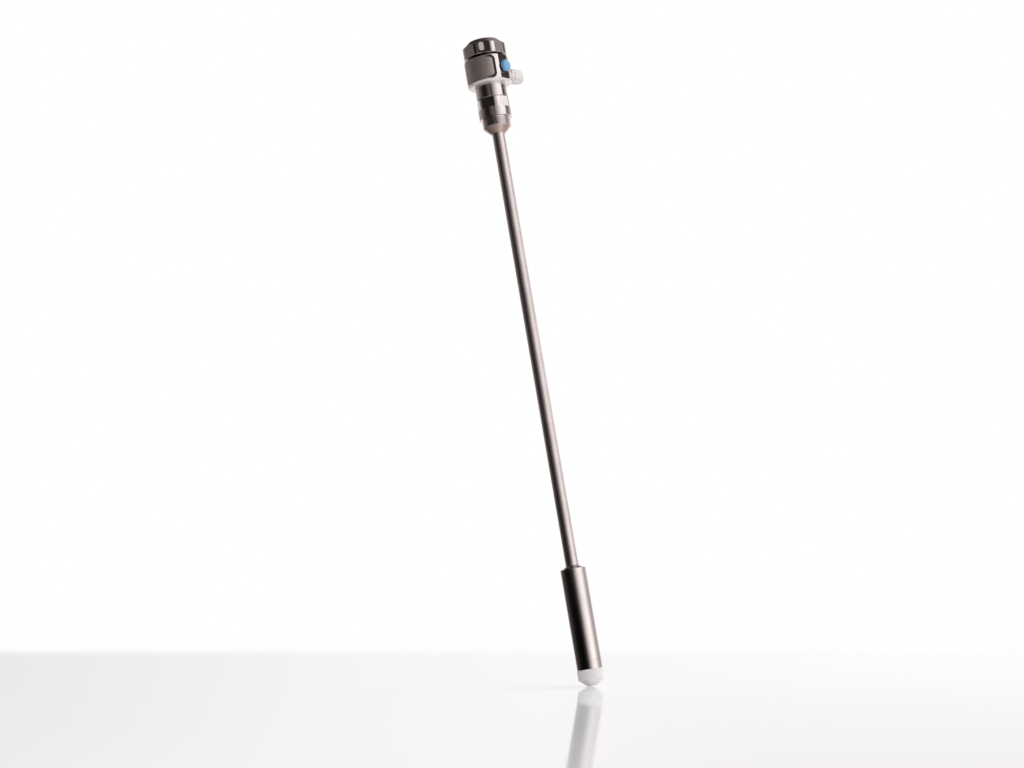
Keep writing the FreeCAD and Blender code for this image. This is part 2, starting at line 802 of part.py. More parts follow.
block = newBody("terminal_block")
blockFront = size("block_offset") - half("block_depth")
blockTop = plateTop + size("block_height")
firstPole = -size("pole_pitch") * 1.5
primitive(block, "AdditiveBox", x=-half("block_length"), y=blockFront, z=plateTop,
          Length=size("block_length"), Width=size("block_depth"), Height=size("block_height"))
entry = primitive(block, "SubtractiveBox", x=firstPole - half("pole_hole"), y=blockFront - over,
                  z=plateTop + size("pole_sill"), Length=size("pole_hole"),
                  Width=size("pole_depth") + over, Height=size("pole_hole"))
linear(block, entry, 4, size("pole_pitch") * 3)
poleTop = blockTop - size("pole_screw_recess")
well = primitive(block, "SubtractiveCylinder", x=firstPole, y=size("block_offset"),
                 z=poleTop - size("pole_screw_height"),
                 Radius=half("pole_screw") + size("screw_clearance"),
                 Height=size("pole_screw_height") + size("pole_screw_recess") + over)
linear(block, well, 4, size("pole_pitch") * 3)

poles = newBody("terminal_screws")
pole = primitive(poles, "AdditiveCylinder", x=firstPole, y=size("block_offset"),
                 z=poleTop - size("pole_screw_height"),
                 Radius=half("pole_screw"), Height=size("pole_screw_height"))
linear(poles, pole, 4, size("pole_pitch") * 3)
primitive(poles, "SubtractiveBox", x=-half("block_length"), y=size("block_offset") - half("pole_slot_width"),
          z=poleTop - size("pole_slot_depth"), Length=size("block_length"), Width=size("pole_slot_width"),
          Height=size("pole_slot_depth") + over)

ground = newBody("ground_terminal")
turn(ground, [
    (0, plateTop),
    (half("ground_washer"), plateTop),
    (half("ground_washer"), plateTop + size("ground_washer_height")),
    (half("ground_screw"), plateTop + size("ground_washer_height")),
    (half("ground_screw"), plateTop + size("ground_height")),
    (0, plateTop + size("ground_height")),
])
ground.setExpression("Placement", placing(half("ground_washer") + size("ground_margin") - cupOut, 0, 0))

# cable gland, built along its own axis from the boss face outwards
collarLow = size("gland_gasket_thickness")
collarHigh = collarLow + size("gland_collar")
sleeveEnd = collarHigh + size("gland_sleeve_length")
sleeveStart = collarHigh + size("gland_shoulder")
gasket = newBody("gland_gasket")
turn(gasket, [
    (half("gland_thread") + size("fit_clearance"), 0),
    (half("gland_gasket_diameter"), 0),
    (half("gland_gasket_diameter"), collarLow),
    (half("gland_thread") + size("fit_clearance"), collarLow),
])
gland = newBody("gland_body")
turn(gland, [
    (half("gland_bore"), -size("gland_reach")),
    (half("gland_thread") - edge, -size("gland_reach")),
    (half("gland_thread"), -size("gland_reach") + edge),
    (half("gland_thread"), collarLow),
    (half("gland_sleeve"), collarLow + edge),
    (half("gland_sleeve"), sleeveEnd),
    (half("gland_sleeve_bore"), sleeveEnd),
    (half("gland_sleeve_bore"), sleeveStart),
    (half("gland_bore"), sleeveStart),
])
slit = primitive(gland, "SubtractiveBox", y=-half("gland_slit"), z=sleeveStart + size("gland_slit_root"),
                 Length=size("gland_sleeve"), Width=size("gland_slit"), Height=size("gland_sleeve_length"))
polar(gland, slit, 8)
hexagon = primitive(gland, "AdditivePrism", z=collarLow, sides=6, Height=size("gland_collar"),
                    Circumradius=Size("(%s / cos(30deg))" % half("gland_flats").text, 0))
primitive(gland, "SubtractiveCylinder", z=-size("gland_reach") - over, Radius=half("gland_bore"),
          Height=size("gland_reach") + sleeveStart + over)

gripSeal = newBody("gland_seal")
sealStart = sleeveStart + size("seal_gap")
turn(gripSeal, [
    (half("cable_hole"), sealStart),
    (half("gland_sleeve_bore") - size("seal_clearance"), sealStart),
    (half("gland_sleeve_bore") - size("seal_clearance"), sealStart + size("seal_length")),
    (half("cable_hole"), sealStart + size("seal_length")),
])

nut = newBody("gland_nut")
nutLow = collarHigh + size("nut_gap")
nutHigh = nutLow + size("nut_length")
nutBore = half("gland_sleeve") + size("nut_clearance")
seatLow = sealStart + size("seal_length") + size("nut_gap")
primitive(nut, "AdditiveCylinder", z=nutLow, Radius=half("nut_dome"), Height=size("nut_length"))
dress(nut, "Fillet", rims(nut, half("nut_dome"), nutHigh), "Radius", size("nut_round"))
primitive(nut, "AdditivePrism", z=nutLow, sides=6, Height=size("nut_grip"),
          Circumradius=Size("(%s / cos(30deg))" % half("nut_flats").text, 0))
reach = Size("(%s / cos(30deg))" % half("nut_flats").text, half("nut_flats").value / 0.8660254)
turn(nut, [
    (half("nut_flats"), nutLow + size("nut_grip")),
    (reach + over, nutLow + size("nut_grip")),
    (reach + over, nutLow + size("nut_grip") - size("nut_chamfer")),
], kind="Groove")
turn(nut, [
    (0, nutLow - over),
    (nutBore, nutLow - over),
    (nutBore, seatLow),
    (half("nut_mouth"), seatLow + size("nut_seat")),
    (half("nut_mouth"), nutHigh + over),
    (0, nutHigh + over),
], kind="Groove")
for piece in (gasket, gland, gripSeal, nut):
    piece.setExpression("Placement", placing(glandFace, 0, entryLevel, 0, 90))

# pressure-equalising plug, built along its own axis from the milled flat outwards
flangeBase = size("vent_seal_thickness")
flangeEnd = flangeBase + size("vent_flange_height")
pocket = flangeEnd - size("membrane_pocket")
ventSeal = newBody("vent_seal")
turn(ventSeal, [
    (half("vent_thread") + size("fit_clearance"), 0),
    (half("vent_seal_diameter"), 0),
    (half("vent_seal_diameter"), flangeBase),
    (half("vent_thread") + size("fit_clearance"), flangeBase),
])
ventBody = newBody("vent_body")
turn(ventBody, [
    (half("vent_bore"), -size("vent_reach")),
    (half("vent_thread"), -size("vent_reach")),
    (half("vent_thread"), flangeBase),
    (half("vent_flange"), flangeBase),
    (half("vent_flange"), flangeEnd),
    (half("membrane_diameter") + size("fit_clearance"), flangeEnd),
    (half("membrane_diameter") + size("fit_clearance"), pocket),
    (half("vent_bore"), pocket),
])
membrane = newBody("vent_membrane")
primitive(membrane, "AdditiveCylinder", z=pocket, Radius=half("membrane_diameter"),
          Height=size("membrane_thickness"))
ventCap = newBody("vent_cap")
capTop = flangeEnd + size("vent_cap_height")
primitive(ventCap, "AdditiveCylinder", z=flangeEnd, Radius=half("vent_cap_diameter"),
          Height=size("vent_cap_height"))
dress(ventCap, "Fillet", rims(ventCap, half("vent_cap_diameter"), capTop), "Radius", size("vent_cap_round"))
primitive(ventCap, "SubtractiveCylinder", z=flangeEnd - over,
          Radius=half("vent_cap_diameter") - size("vent_cap_wall"),
          Height=size("vent_cap_height") - size("vent_cap_wall") + over)
slot = primitive(ventCap, "SubtractiveBox", y=-half("vent_slot"), z=flangeEnd - over,
                 Length=size("vent_cap_diameter"), Width=size("vent_slot"), Height=half("vent_slot") + over)
polar(ventCap, slot, 6)
ventX, ventY = radial(ventFace)
for piece in (ventSeal, ventBody, membrane, ventCap):
    piece.setExpression("Placement", placing(ventX, ventY, ventLevel, size("vent_angle"), 90))

doc.recompute()

# every object sound, then one file for each sub-part
for item in doc.Objects:
    if any(state in ("Invalid", "Error") for state in item.State):
        raise RuntimeError("%s is not sound: %s" % (item.Label, item.State))
for part in parts:
    if part.Shape.isNull() or not part.Shape.isValid():
        raise RuntimeError("%s has no valid shape" % part.Label)
os.makedirs("parts", exist_ok=True)
for part in parts:
    part.Shape.exportStep("parts/%s.step" % part.Label)
    box = part.Shape.BoundBox
    print("%-20s %2d solid(s) %10.0f mm3  z %8.2f to %8.2f" % (
        part.Label, len(part.Shape.Solids), part.Shape.Volume, box.ZMin, box.ZMax))
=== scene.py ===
import json
from math import cos, pi, radians, sin

import bpy
import numpy as np
from mathutils import Matrix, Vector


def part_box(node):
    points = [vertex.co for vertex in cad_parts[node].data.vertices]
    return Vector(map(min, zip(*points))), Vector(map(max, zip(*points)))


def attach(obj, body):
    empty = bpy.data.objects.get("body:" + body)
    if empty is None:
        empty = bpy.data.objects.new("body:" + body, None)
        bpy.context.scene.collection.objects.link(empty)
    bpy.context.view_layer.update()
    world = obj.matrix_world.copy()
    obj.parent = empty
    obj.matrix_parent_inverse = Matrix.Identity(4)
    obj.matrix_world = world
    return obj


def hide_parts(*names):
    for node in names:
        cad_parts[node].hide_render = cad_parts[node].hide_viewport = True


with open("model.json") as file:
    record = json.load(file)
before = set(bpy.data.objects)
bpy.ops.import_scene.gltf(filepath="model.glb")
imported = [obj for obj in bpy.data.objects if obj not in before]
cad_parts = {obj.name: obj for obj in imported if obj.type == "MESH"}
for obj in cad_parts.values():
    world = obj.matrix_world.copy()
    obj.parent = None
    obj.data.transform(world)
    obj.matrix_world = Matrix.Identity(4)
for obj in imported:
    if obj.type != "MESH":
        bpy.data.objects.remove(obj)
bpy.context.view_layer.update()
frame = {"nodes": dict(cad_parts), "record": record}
nodes = frame["nodes"]
record = frame["record"]
mm = 0.001  # lengths in the dictionaries are in mm, apart from the floor's and the lamps'


# shader groups shared by the finishes

def newGroup(name, inputs, outputs):
    tree = bpy.data.node_groups.new(name, "ShaderNodeTree")
    for label, kind, value in inputs:
        socket = tree.interface.new_socket(label, in_out="INPUT", socket_type=kind)
        socket.default_value = value
    for label in outputs:
        tree.interface.new_socket(label, in_out="OUTPUT", socket_type="NodeSocketFloat")
    return tree, tree.nodes.new("NodeGroupInput"), tree.nodes.new("NodeGroupOutput")


def mathNode(tree, operation, a, b):
    node = tree.nodes.new("ShaderNodeMath")
    node.operation = operation
    for socket, value in zip(node.inputs, (a, b)):
        if isinstance(value, (int, float)):
            socket.default_value = value
        else:
            tree.links.new(value, socket)
    return node.outputs[0]


def rangeNode(tree, value, low, high, toLow=0.0, toHigh=1.0, kind="LINEAR"):
    node = tree.nodes.new("ShaderNodeMapRange")
    node.interpolation_type = kind
    for label, number in (("From Min", low), ("From Max", high), ("To Min", toLow), ("To Max", toHigh)):
        node.inputs[label].default_value = number
    tree.links.new(value, node.inputs["Value"])
    return node.outputs["Result"]


def noiseNode(tree, vector, scale, detail, rough):
    node = tree.nodes.new("ShaderNodeTexNoise")
    node.inputs["Detail"].default_value = detail
    node.inputs["Roughness"].default_value = rough
    tree.links.new(vector, node.inputs["Vector"])
    if isinstance(scale, (int, float)):
        node.inputs["Scale"].default_value = scale
    else:
        tree.links.new(scale, node.inputs["Scale"])
    return node.outputs["Fac"]


# what a finish has where its own dictionary says nothing else
usualLook = {"stretch": (9.0, 9.0, 2400.0), "marks": 40.0, "skin": 2600.0, "dust": 0.05,
             "lineShare": 0.5, "lineDepth": 0.0, "skinDepth": 0.0, "metallic": 0.0, "sockets": {}}

# fine lines left by turning, drawing or grinding: noise stretched by a different scale on each axis
lineLook = {"detail": 3.0, "rough": 0.65, "span": (0.3, 0.7)}
linesTree, linesIn, linesOut = newGroup("toolLines", [("Stretch", "NodeSocketVector", usualLook["stretch"])],
                                        ["Lines"])
place = linesTree.nodes.new("ShaderNodeTexCoord")
stretched = linesTree.nodes.new("ShaderNodeMapping")
linesTree.links.new(place.outputs["Object"], stretched.inputs["Vector"])
linesTree.links.new(linesIn.outputs["Stretch"], stretched.inputs["Scale"])
fineLines = noiseNode(linesTree, stretched.outputs["Vector"], 1.0, lineLook["detail"], lineLook["rough"])
linesTree.links.new(rangeNode(linesTree, fineLines, *lineLook["span"]), linesOut.inputs["Lines"])

# marks of handling: soft blotches, with a few sharper smears in them
markLook = {"detail": 5.0, "rough": 0.6, "finer": 7.0, "finerDetail": 3.0, "finerRough": 0.7,
            "blotches": 0.7, "smears": 0.3, "span": (0.36, 0.64)}
marksTree, marksIn, marksOut = newGroup("handlingMarks", [("Size", "NodeSocketFloat", usualLook["marks"])],
                                        ["Marks"])
place = marksTree.nodes.new("ShaderNodeTexCoord")
blotches = noiseNode(marksTree, place.outputs["Object"], marksIn.outputs["Size"], markLook["detail"],
                     markLook["rough"])
finer = mathNode(marksTree, "MULTIPLY", marksIn.outputs["Size"], markLook["finer"])
smears = noiseNode(marksTree, place.outputs["Object"], finer, markLook["finerDetail"], markLook["finerRough"])
joined = mathNode(marksTree, "ADD", mathNode(marksTree, "MULTIPLY", blotches, markLook["blotches"]),
                  mathNode(marksTree, "MULTIPLY", smears, markLook["smears"]))
joined = rangeNode(marksTree, joined, *markLook["span"], kind="SMOOTHSTEP")
marksTree.links.new(joined, marksOut.inputs["Marks"])

# skin of moulded plastic, rubber or ceramic: a close even grain
skinLook = {"detail": 2.0, "rough": 0.5, "span": (0.25, 0.75)}
skinTree, skinIn, skinOut = newGroup("mouldedSkin", [("Size", "NodeSocketFloat", usualLook["skin"])],
                                     ["Skin"])
place = skinTree.nodes.new("ShaderNodeTexCoord")
grain = noiseNode(skinTree, place.outputs["Object"], skinIn.outputs["Size"], skinLook["detail"],
                  skinLook["rough"])
skinTree.links.new(rangeNode(skinTree, grain, *skinLook["span"]), skinOut.inputs["Skin"])

# dust that settles on faces looking up
dustLook = {"facing": (0.3, 0.95), "speckSize": 900.0, "detail": 4.0, "rough": 0.7, "span": (0.45, 0.7),
            "tone": (0.55, 0.53, 0.50), "dulling": 0.5}
dustTree, dustIn, dustOut = newGroup("settledDust", [("Amount", "NodeSocketFloat", usualLook["dust"])],
                                     ["Dust"])
place = dustTree.nodes.new("ShaderNodeTexCoord")
shape = dustTree.nodes.new("ShaderNodeNewGeometry")
facing = dustTree.nodes.new("ShaderNodeSeparateXYZ")
dustTree.links.new(shape.outputs["Normal"], facing.inputs["Vector"])
upward = rangeNode(dustTree, facing.outputs["Z"], *dustLook["facing"])
specks = noiseNode(dustTree, place.outputs["Object"], dustLook["speckSize"], dustLook["detail"],
                   dustLook["rough"])
specks = rangeNode(dustTree, specks, *dustLook["span"])
settled = mathNode(dustTree, "MULTIPLY", mathNode(dustTree, "MULTIPLY", upward, specks),
                   dustIn.outputs["Amount"])
dustTree.links.new(settled, dustOut.inputs["Dust"])
print("shader groups made:", len(bpy.data.node_groups))


def placeGroup(tree, group, **values):
    node = tree.nodes.new("ShaderNodeGroup")
    node.node_tree = group
    for label, value in values.items():
        node.inputs[label].default_value = value
    return node.outputs[0]


def mixTone(tree, factor, a, b):
    node = tree.nodes.new("ShaderNodeMix")
    node.data_type = "RGBA"
    for socket, value in ((node.inputs[0], factor), (node.inputs[6], a), (node.inputs[7], b)):
        if isinstance(value, tuple):
            socket.default_value = (*value, 1.0)
        else:
            tree.links.new(value, socket)
    return node.outputs[2]


# mask that is full at one height and gone at another
def heightBand(tree, full, gone):
    place = tree.nodes.new("ShaderNodeTexCoord")
    split = tree.nodes.new("ShaderNodeSeparateXYZ")
    tree.links.new(place.outputs["Object"], split.inputs["Vector"])
    return rangeNode(tree, split.outputs["Z"], gone * mm, full * mm)


# mask from a value that the mesh keeps at its points
def pointMask(tree, name):
    node = tree.nodes.new("ShaderNodeAttribute")
    node.attribute_name = name
    return node.outputs["Fac"]


# heat bloom that welding leaves; painted shade: the thread darkened where it sits in the gap under the cover;
# painted highlight: a pale, half-metallic band on the lower edge standing for its bright reflection
heatedSteel = {"tone": (0.60, 0.505, 0.445), "dulling": 0.16}
# painted shade: near-black tone for the thread seen in the shaded gap between cover and housing
paintedThreadShade = (0.030, 0.026, 0.024)
# painted highlight: pale tone and lower metallic for the band that stands for the bright reflection on the
# cup's lower edge
paintedRimSheen = {"tone": (0.92, 0.885, 0.875), "metallic": 0.5, "dulling": 0.25, "blend": 0.1}
reliefHeight = 0.1  # full height of the fine relief in mm, scaled down by each finish


# a finish: tone drifts with the handling marks, roughness with lines and marks, relief from lines and skin
def makeFinish(name, ownLook):
    look = {**usualLook, **ownLook}
    material = bpy.data.materials.new(name)
    material.use_nodes = True
    tree = material.node_tree
    surface = tree.nodes["Principled BSDF"]
    marks = placeGroup(tree, marksTree, Size=look["marks"])
    lines = placeGroup(tree, linesTree, Stretch=look["stretch"])
    skin = placeGroup(tree, skinTree, Size=look["skin"])
    dust = placeGroup(tree, dustTree, Amount=look["dust"])
    low, high = look["roughness"]
    share = look["lineShare"]
    worked = mathNode(tree, "ADD", mathNode(tree, "MULTIPLY", lines, share),
                      mathNode(tree, "MULTIPLY", marks, 1.0 - share))
    dulled = mathNode(tree, "ADD", rangeNode(tree, worked, 0.0, 1.0, low, high),
                      mathNode(tree, "MULTIPLY", dust, dustLook["dulling"]))
    tone = mixTone(tree, marks, *look["tones"])
    tone = mixTone(tree, dust, tone, dustLook["tone"])
    surface.inputs["Metallic"].default_value = look["metallic"]
    if "heat" in look:
        heat = heightBand(tree, *look["heat"])
        tone = mixTone(tree, heat, tone, heatedSteel["tone"])
        dulled = mathNode(tree, "ADD", dulled, mathNode(tree, "MULTIPLY", heat, heatedSteel["dulling"]))
    # painted shade on the thread in the gap under the cover
    if "gapShade" in look:
        tone = mixTone(tree, heightBand(tree, *look["gapShade"]), tone, paintedThreadShade)
    # painted highlight: pale, less metallic band standing for the bright reflection along the lower edge
    if "sheenBand" in look:
        bottom, top = look["sheenBand"]
        sheenBand = mathNode(tree, "MULTIPLY", heightBand(tree, bottom, bottom - paintedRimSheen["blend"]),
                       heightBand(tree, top, top + paintedRimSheen["blend"]))
        tone = mixTone(tree, sheenBand, tone, paintedRimSheen["tone"])
        dulled = mathNode(tree, "ADD", dulled, mathNode(tree, "MULTIPLY", sheenBand, paintedRimSheen["dulling"]))
        metal = rangeNode(tree, sheenBand, 0.0, 1.0, look["metallic"], paintedRimSheen["metallic"])
        tree.links.new(metal, surface.inputs["Metallic"])
    # painted shade: dark edge kept as a mask on the plate's mesh
    if "paintedEdgeShade" in look:
        tone = mixTone(tree, pointMask(tree, "paintedEdgeShade"), tone, look["paintedEdgeShade"])
    relief = mathNode(tree, "ADD", mathNode(tree, "MULTIPLY", lines, look["lineDepth"]),
                      mathNode(tree, "MULTIPLY", skin, look["skinDepth"]))
    bump = tree.nodes.new("ShaderNodeBump")
    bump.inputs["Strength"].default_value = look["relief"]
    bump.inputs["Distance"].default_value = reliefHeight * mm
    tree.links.new(relief, bump.inputs["Height"])
    tree.links.new(bump.outputs["Normal"], surface.inputs["Normal"])
    tree.links.new(tone, surface.inputs["Base Color"])
    tree.links.new(dulled, surface.inputs["Roughness"])
    for label, value in look["sockets"].items():
        surface.inputs[label].default_value = value
    return material


def dressNodes(material, names):
    for name in names:
        nodes[name].data.materials.clear()
        nodes[name].data.materials.append(material)
    print("dressed with", material.name + ":", ", ".join(names))


headSteel = {"tones": ((0.70, 0.665, 0.655), (0.64, 0.605, 0.595)), "roughness": (0.07, 0.15),
             "metallic": 1.0, "stretch": (9.0, 9.0, 1900.0), "lineDepth": 0.25, "relief": 0.06, "marks": 34.0,
             "dust": 0.06}
dressNodes(makeFinish("headSteel", headSteel), ["cover"])

# the housing has the cover's thread above its shoulder, painted dark as shade in the gap under the cover, and
# a pale painted highlight band round the foot of its cup
housingBands = {"thread": 10.0, "gapShadeFull": 0.3, "gapShadeGone": 0.1, "neck": 23.7, "edge": 3.5, "under": 0.1}
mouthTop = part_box("housing")[1].z / mm
shoulder = mouthTop - housingBands["thread"]
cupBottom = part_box("housing")[0].z / mm + housingBands["neck"]
housingSteel = {**headSteel,
                "gapShade": (shoulder + housingBands["gapShadeFull"], shoulder + housingBands["gapShadeGone"]),
                "sheenBand": (cupBottom - housingBands["under"], cupBottom + housingBands["edge"])}
dressNodes(makeFinish("housingSteel", housingSteel), ["housing"])

rodSteel = {"tones": ((0.75, 0.705, 0.70), (0.69, 0.645, 0.64)), "roughness": (0.20, 0.30), "metallic": 1.0,
            "stretch": (14.0, 14.0, 900.0), "lineDepth": 0.2, "relief": 0.05, "marks": 26.0, "dust": 0.03}
dressNodes(makeFinish("rodSteel", rodSteel), ["rod_tube"])

probeSteel = {"tones": ((0.71, 0.675, 0.66), (0.65, 0.62, 0.605)), "roughness": (0.06, 0.13), "metallic": 1.0,
              "stretch": (8.0, 8.0, 2600.0), "lineDepth": 0.2, "relief": 0.05, "marks": 30.0, "dust": 0.03}
dressNodes(makeFinish("probeSteel", probeSteel), ["probe_body", "cell_carrier"])

plainSteel = {"tones": ((0.58, 0.57, 0.55), (0.46, 0.45, 0.44)), "roughness": (0.22, 0.40), "metallic": 1.0,
              "stretch": (700.0, 700.0, 700.0), "lineDepth": 0.4, "relief": 0.2, "marks": 160.0}
dressNodes(makeFinish("plainSteel", plainSteel),
           ["retaining_ring", "set_screw", "insert_screws", "terminal_screws", "cell_clamp"])

brass = {"tones": ((0.74, 0.56, 0.27), (0.60, 0.43, 0.18)), "roughness": (0.20, 0.36), "metallic": 1.0,
         "stretch": (600.0, 600.0, 1500.0), "lineDepth": 0.3, "relief": 0.2, "marks": 150.0}
dressNodes(makeFinish("turnedBrass", brass), ["standoffs", "ground_terminal"])

evenDepth = (1.0, 1.0, 1.0)  # pale plastics let all colours of light in equally deep
greyPlastic = {"tones": ((0.86, 0.852, 0.845), (0.79, 0.782, 0.775)), "roughness": (0.30, 0.44),
               "marks": 70.0, "lineShare": 0.1, "skinDepth": 0.6, "relief": 0.15,
               "sockets": {"Subsurface Weight": 0.12, "Subsurface Scale": 0.001,
                           "Subsurface Radius": evenDepth}}
dressNodes(makeFinish("greyPolyamide", greyPlastic), ["gland_body", "gland_nut"])

bluePlastic = {"tones": ((0.19, 0.44, 0.68), (0.17, 0.40, 0.63)), "roughness": (0.20, 0.34), "marks": 90.0,
               "lineShare": 0.1, "skin": 3200.0, "skinDepth": 0.5, "relief": 0.12}
dressNodes(makeFinish("bluePlastic", bluePlastic), ["vent_cap"])
# painted shade: the vent's body takes a darker copy of the cap's blue, standing for its base in shadow next
# to the housing
shadedBluePlastic = {**bluePlastic, "tones": ((0.035, 0.11, 0.21), (0.03, 0.09, 0.18))}
dressNodes(makeFinish("shadedBluePlastic", shadedBluePlastic), ["vent_body"])

whitePlastic = {"tones": ((0.93, 0.925, 0.91), (0.86, 0.855, 0.845)), "roughness": (0.28, 0.42),
                "marks": 60.0, "lineShare": 0.4, "stretch": (8.0, 8.0, 2200.0), "lineDepth": 0.3,
                "skinDepth": 0.3, "relief": 0.2,
                "sockets": {"Subsurface Weight": 0.45, "Subsurface Scale": 0.003,
                            "Subsurface Radius": evenDepth}}
dressNodes(makeFinish("whitePolyethylene", whitePlastic), ["nose_cap"])

blackRubber = {"tones": ((0.022, 0.022, 0.023), (0.035, 0.034, 0.033)), "roughness": (0.55, 0.75),
               "marks": 120.0, "lineShare": 0.1, "skin": 4000.0, "skinDepth": 1.0, "relief": 0.3,
               "dust": 0.12}
dressNodes(makeFinish("blackRubber", blackRubber),
           ["swivel_seal", "cable_grommet", "nose_ring", "cell_seal", "cover_seal", "gland_gasket",
            "gland_seal", "vent_seal", "signal_cable"])

milkyTube = {"tones": ((0.78, 0.77, 0.72), (0.70, 0.69, 0.64)), "roughness": (0.25, 0.40), "marks": 90.0,
             "skinDepth": 0.4, "relief": 0.15,
             "sockets": {"Subsurface Weight": 0.4, "Subsurface Scale": 0.0005,
                         "Subsurface Radius": evenDepth}}
dressNodes(makeFinish("milkyTube", milkyTube), ["vent_tube"])

membrane = {"tones": ((0.86, 0.86, 0.85), (0.74, 0.74, 0.73)), "roughness": (0.80, 0.95), "marks": 400.0,
            "skin": 6000.0, "skinDepth": 1.0, "relief": 0.5}
dressNodes(makeFinish("membraneWeave", membrane), ["vent_membrane"])

darkPlastic = {"tones": ((0.028, 0.028, 0.031), (0.045, 0.044, 0.046)), "roughness": (0.38, 0.55),
               "marks": 80.0, "skinDepth": 0.9, "relief": 0.25, "dust": 0.10}
dressNodes(makeFinish("darkPlastic", darkPlastic), ["electronics_cup", "terminal_plate", "board_parts"])

greenBoard = {"tones": ((0.025, 0.15, 0.065), (0.035, 0.20, 0.085)), "roughness": (0.25, 0.40),
              "marks": 240.0, "stretch": (900.0, 60.0, 60.0), "lineDepth": 0.5, "skinDepth": 0.3,
              "relief": 0.25}
dressNodes(makeFinish("coatedBoard", greenBoard), ["circuit_board"])

greenPlastic = {"tones": ((0.09, 0.34, 0.15), (0.07, 0.28, 0.12)), "roughness": (0.35, 0.50), "marks": 90.0,
                "skinDepth": 0.7, "relief": 0.2, "dust": 0.08}
dressNodes(makeFinish("greenPlastic", greenPlastic), ["terminal_block"])

keyPlastic = {"tones": ((0.57, 0.57, 0.56), (0.48, 0.48, 0.47)), "roughness": (0.25, 0.38), "marks": 200.0,
              "skinDepth": 0.5, "relief": 0.15}
dressNodes(makeFinish("keyPlastic", keyPlastic), ["zero_button", "span_button"])

ceramic = {"tones": ((0.88, 0.87, 0.83), (0.82, 0.81, 0.77)), "roughness": (0.18, 0.30), "marks": 120.0,
           "skinDepth": 0.4, "relief": 0.12}
dressNodes(makeFinish("sinteredCeramic", ceramic), ["measuring_cell"])

castingResin = {"tones": ((0.014, 0.014, 0.016), (0.022, 0.021, 0.022)), "roughness": (0.12, 0.30),
                "marks": 70.0, "skinDepth": 0.3, "relief": 0.15}
dressNodes(makeFinish("castingResin", castingResin), ["sensor_electronics"])


# quads between neighbours of a grid: loop joins the last row to the first, ring the last column
def gridQuads(rows, columns, loop=False, ring=False):
    index = np.arange(rows * columns).reshape(rows, columns)
    if loop:
        index = np.concatenate([index, index[:1]], 0)
    if ring:
        index = np.concatenate([index, index[:, :1]], 1)
    corners = [index[:-1, :-1], index[:-1, 1:], index[1:, 1:], index[1:, :-1]]
    return np.stack(corners, -1).reshape(-1, 4).tolist()


# a grid of points becomes a piece that rides a body, with edges sharper than the angle kept sharp
def surfacePiece(name, points, material, body, loop=False, ring=True, sharp=24.0):
    mesh = bpy.data.meshes.new(name)
    mesh.from_pydata(points.reshape(-1, 3).tolist(), [], gridQuads(*points.shape[:2], loop, ring))
    mesh.shade_smooth()
    mesh.set_sharp_from_angle(angle=radians(sharp))
    mesh.materials.append(material)
    piece = bpy.data.objects.new(name, mesh)
    bpy.context.scene.collection.objects.link(piece)
    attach(piece, body)
    return piece


# a value for each point of the grid, kept in the mesh for its material
def keepValues(mesh, name, values):
    layer = mesh.attributes.new(name, "FLOAT", "POINT")
    layer.data.foreach_set("value", values.astype(np.float32).ravel())


# radius and height on the grid, turned about Z by the angle of each column
def turnedGrid(radius, height, angle):
    radius, height = np.broadcast_arrays(radius, height)
    return np.stack([radius * np.cos(angle), radius * np.sin(angle), height], -1)


# process connection with its pipe thread cut
# thread: radius swings between root and crest with (height / pitch - angle / turn), held under the end cone
# hexagon: radius is the smaller of the bar's radius and flat distance / cos(angle from the flat's middle)
connection = {"pitch": 2.309, "depth": 1.479, "rootLand": 0.14, "flank": 0.72, "runOut": 1.2,
              "relief": 2.6, "reliefDepth": 0.2, "reliefSlope": 0.3, "reliefFoot": 0.5, "reliefFlare": 0.1,
              "coneTip": 13.0, "edge": 0.6, "edgeMiddle": 0.3, "edgeEnd": 0.3, "flats": 50.0, "collar": 16.0,
              "hexMiddle": 6.0, "topChamfer": 1.8, "chamferTall": 1.2, "chamferRows": 7, "swivelGap": 0.3,
              "spigot": 18.0, "leadBore": 6.0, "rowsPerTurn": 18, "columnsPerFlat": 20,
              "columnsPerCorner": 4, "heatReach": 1.5}
lowest, highest = (np.array(corner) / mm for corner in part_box("process_connection"))
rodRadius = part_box("rod_tube")[1].x / mm
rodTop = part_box("rod_tube")[1].z / mm
threadMount = [mount for mount in record["mounts"] if mount["name"] == "process_thread"][0]
crest = threadMount["dims"]["r_mm"]
root = crest - connection["depth"]
barRadius = highest[0]
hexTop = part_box("housing")[0].z / mm - connection["swivelGap"]

# columns: close together on each flat, and a few round each corner
flatHalf = connection["flats"] / 2
flatEdge = np.arccos(flatHalf / barRadius)
onFlat = np.linspace(-flatEdge, flatEdge, connection["columnsPerFlat"])
onCorner = np.linspace(flatEdge, pi / 3 - flatEdge, connection["columnsPerCorner"] + 2)[1:-1]
oneSide = np.concatenate([onFlat, onCorner]) + pi / 6
angle = np.concatenate([oneSide + k * pi / 3 for k in range(6)])
fromFlat = np.mod(angle, pi / 3) - pi / 6
hexRadius = np.minimum(flatHalf / np.cos(fromFlat), barRadius)

